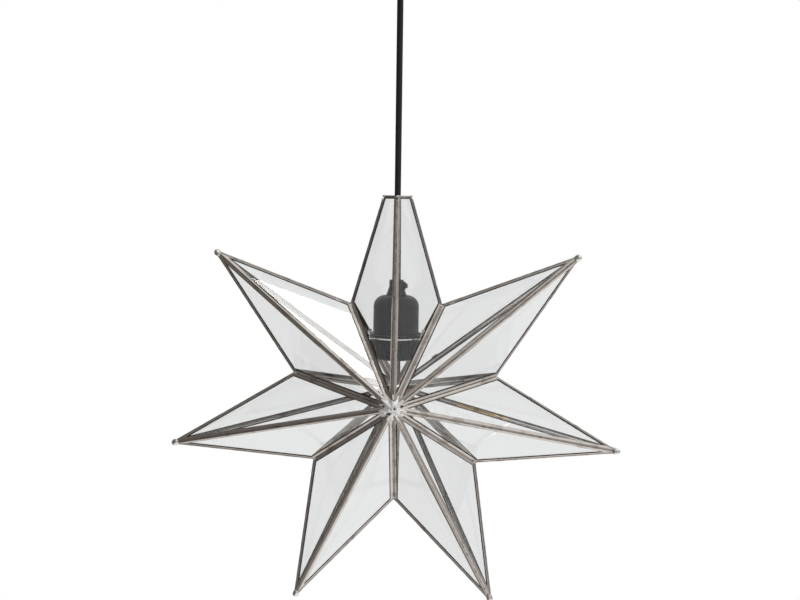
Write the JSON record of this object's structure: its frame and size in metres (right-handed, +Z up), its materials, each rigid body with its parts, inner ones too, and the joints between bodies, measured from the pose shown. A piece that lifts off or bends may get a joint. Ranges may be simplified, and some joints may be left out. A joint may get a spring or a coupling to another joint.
{
  "type": "moravian star pendant",
  "caption": "Pendant light: a pointed star of clear glass panes in soldered metal channels, with a black lampholder inside, a hinged back door, a cord and a ceiling canopy.",
  "frame": {"origin": "centre of the canopy's rim, on the ceiling", "axes": "+Z up out of the ceiling, -Z down along the cord; -Y is the star's front; +X is the right seen from the front"},
  "size_m": [0.4388, 0.1262, 0.6316],
  "materials": {
    "glass": "clear, polished",
    "came": "nickel silver, mottled",
    "solder": "tinned, shiny and lumpy",
    "brass": "bright",
    "copper": "bright copper wire",
    "steel": "plated",
    "black_plastic": "moulded, satin",
    "insulation": "unglazed",
    "canopy_paint": "satin black",
    "cord": "smooth jacket"
  },
  "bodies": {
    "ceiling": {"canopy": "canopy_paint", "ceiling_bracket": "steel", "canopy_screws": "steel", "cord_grip": "black_plastic", "grip_nut": "black_plastic", "terminal_block": "insulation", "cord_tail": "cord"},
    "bend": {"cord_bend": "cord"},
    "cord": {"pendant_cord": "cord"},
    "star": {"point_1_front_glass": "glass", "point_1_front_came": "came", "point_1_back_glass": "glass", "point_1_back_came": "came", "point_2_front_glass": "glass", "point_2_front_came": "came", "point_2_back_glass": "glass", "point_2_back_came": "came", "point_3_front_glass": "glass", "point_3_front_came": "came", "point_3_back_glass": "glass", "point_3_back_came": "came", "point_4_front_glass": "glass", "point_4_front_came": "came", "point_4_back_glass": "glass", "point_4_back_came": "came", "point_5_front_glass": "glass", "point_5_front_came": "came", "point_5_back_glass": "glass", "point_5_back_came": "came", "point_6_front_glass": "glass", "point_6_front_came": "came", "point_6_back_glass": "glass", "point_6_back_came": "came", "point_7_front_glass": "glass", "point_7_front_came": "came", "point_7_back_glass": "glass", "point_7_back_came": "came", "front_hub_solder": "solder", "back_hub_solder": "solder", "tip_solder": "solder", "notch_solder": "solder", "top_rim_solder": "solder", "frame_knuckles": "brass", "hinge_pin": "copper", "latch_stud": "came", "holder_plate": "steel", "ear_solder": "solder", "holder_cap": "black_plastic", "neck_screw": "black_plastic", "holder_body": "black_plastic", "holder_core": "insulation", "thread_shell": "brass", "centre_contact": "brass", "shade_ring": "black_plastic"},
    "door": {"door_glass": "glass", "door_came": "came", "door_seam_solder": "solder", "door_knuckle": "brass"},
    "latch": {"latch_button": "came"}
  },
  "joints": [
    {"name": "swing_side", "type": "hinge", "parent": "ceiling", "child": "bend", "pos_m": [0, 0, -0.0353], "axis": [0, 1, 0], "range_deg": [-20, 20]},
    {"name": "swing_fore", "type": "hinge", "parent": "bend", "child": "cord", "pos_m": [0, 0, -0.0353], "axis": [1, 0, 0], "range_deg": [-20, 20]},
    {"name": "cord_twist", "type": "hinge", "parent": "cord", "child": "star", "pos_m": [0, 0, -0.3145], "axis": [0, 0, 1], "range_deg": [-90, 90], "stiffness_Nm_per_rad": 0.02},
    {"name": "back_door", "type": "hinge", "parent": "star", "child": "door", "pos_m": [0.06146, 0.04413, -0.44263], "axis": [-0.942, 0.2577, 0.215], "range_deg": [0, 110]},
    {"name": "turn_button", "type": "hinge", "parent": "star", "child": "latch", "pos_m": [0.03657, 0.04731, -0.39688], "axis": [0.2014, 0.9662, 0.1606], "range_deg": [0, 90]}
  ]
}
